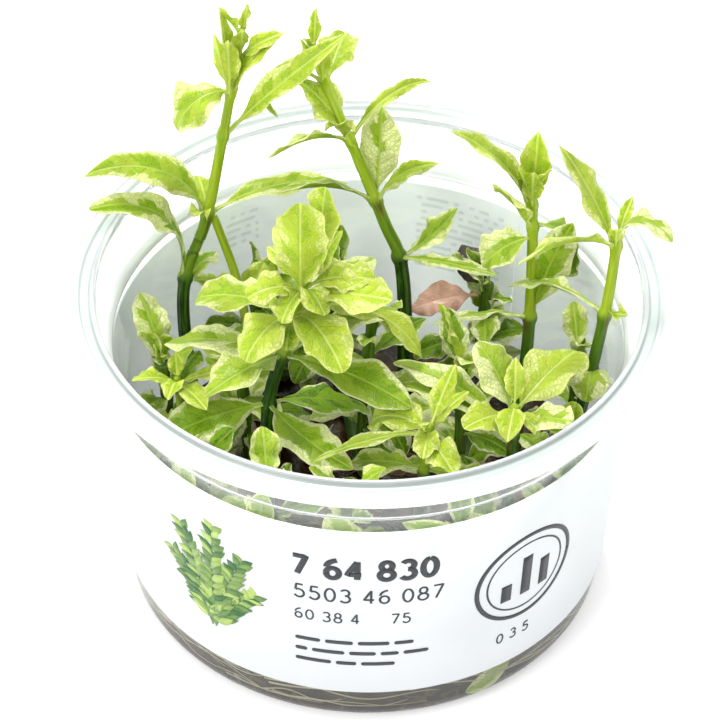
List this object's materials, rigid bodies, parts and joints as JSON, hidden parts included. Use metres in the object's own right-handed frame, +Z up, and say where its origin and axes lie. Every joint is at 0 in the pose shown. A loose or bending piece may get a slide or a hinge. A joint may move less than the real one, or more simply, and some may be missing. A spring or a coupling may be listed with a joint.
{
  "type": "variegated hygrophila plants in a tissue culture cup",
  "caption": "Green and cream leafy stem plants growing on gel in a clear round flanged culture cup with a wrap label, leaves rising out of the open mouth.",
  "frame": {"origin": "middle of the cup's flat underside, on the surface it rests on", "axes": "+Z up through the cup's open mouth; -Y towards the front of the label; +X to the right of that"},
  "size_m": [0.1, 0.1, 0.0954],
  "materials": {
    "clear_plastic": "clear moulded, glossy",
    "label_film": "satin printed film, slightly translucent",
    "gel": "wet cloudy gel with pale and brown roots",
    "stem_green": "smooth plant stem, satin",
    "leaf_green": "soft leaf, net-veined, cream-edged",
    "low_leaf_green": "soft darker leaf, net-veined, cream-edged"
  },
  "bodies": {
    "root": {"clump_back_left": "low_leaf_green", "clump_back_right": "low_leaf_green", "clump_front": "low_leaf_green", "clump_front_left": "low_leaf_green", "clump_left": "low_leaf_green", "clump_right": "low_leaf_green", "culture_gel": "gel", "cup": "clear_plastic", "label_wrap": "label_film", "leaf_back_centre_cream": "leaf_green", "leaf_back_centre_drooping": "leaf_green", "leaf_back_centre_left": "leaf_green", "leaf_back_centre_low_right": "leaf_green", "leaf_back_centre_low_thin": "leaf_green", "leaf_back_centre_right": "leaf_green", "leaf_back_centre_thin_left": "leaf_green", "leaf_back_centre_thin_right": "leaf_green", "leaf_front_right_broad": "leaf_green", "leaf_front_right_left": "leaf_green", "leaf_front_right_long": "leaf_green", "leaf_front_right_side": "leaf_green", "leaf_front_right_upright": "leaf_green", "leaf_left_tall_curling": "leaf_green", "leaf_left_tall_drooping": "leaf_green", "leaf_left_tall_long": "leaf_green", "leaf_left_tall_right": "leaf_green", "leaf_left_tall_serrate": "leaf_green", "leaf_left_tall_upright": "leaf_green", "leaf_right_back_broad": "leaf_green", "leaf_right_back_hanging": "leaf_green", "leaf_right_back_long": "leaf_green", "leaf_right_back_low": "leaf_green", "leaf_right_back_upright": "leaf_green", "leaf_right_edge_bent": "leaf_green", "leaf_right_edge_left": "leaf_green", "leaf_right_edge_long": "leaf_green", "leaf_right_edge_low": "leaf_green", "leaf_right_edge_thin": "leaf_green", "leaf_rosette_foot_front": "leaf_green", "leaf_rosette_foot_left": "leaf_green", "leaf_rosette_front": "leaf_green", "leaf_rosette_front_left": "leaf_green", "leaf_rosette_left": "leaf_green", "leaf_rosette_low_front": "leaf_green", "leaf_rosette_low_left": "leaf_green", "leaf_rosette_low_right": "leaf_green", "leaf_rosette_right": "leaf_green", "leaf_rosette_right_back": "leaf_green", "leaf_rosette_right_low": "leaf_green", "leaf_rosette_upright_left": "leaf_green", "leaf_rosette_upright_right": "leaf_green", "stem_back_centre": "stem_green", "stem_front_centre": "stem_green", "stem_front_right": "stem_green", "stem_front_rosette": "stem_green", "stem_left_small": "stem_green", "stem_left_tall": "stem_green", "stem_right_back": "stem_green", "stem_right_edge": "stem_green"}
  },
  "joints": []
}
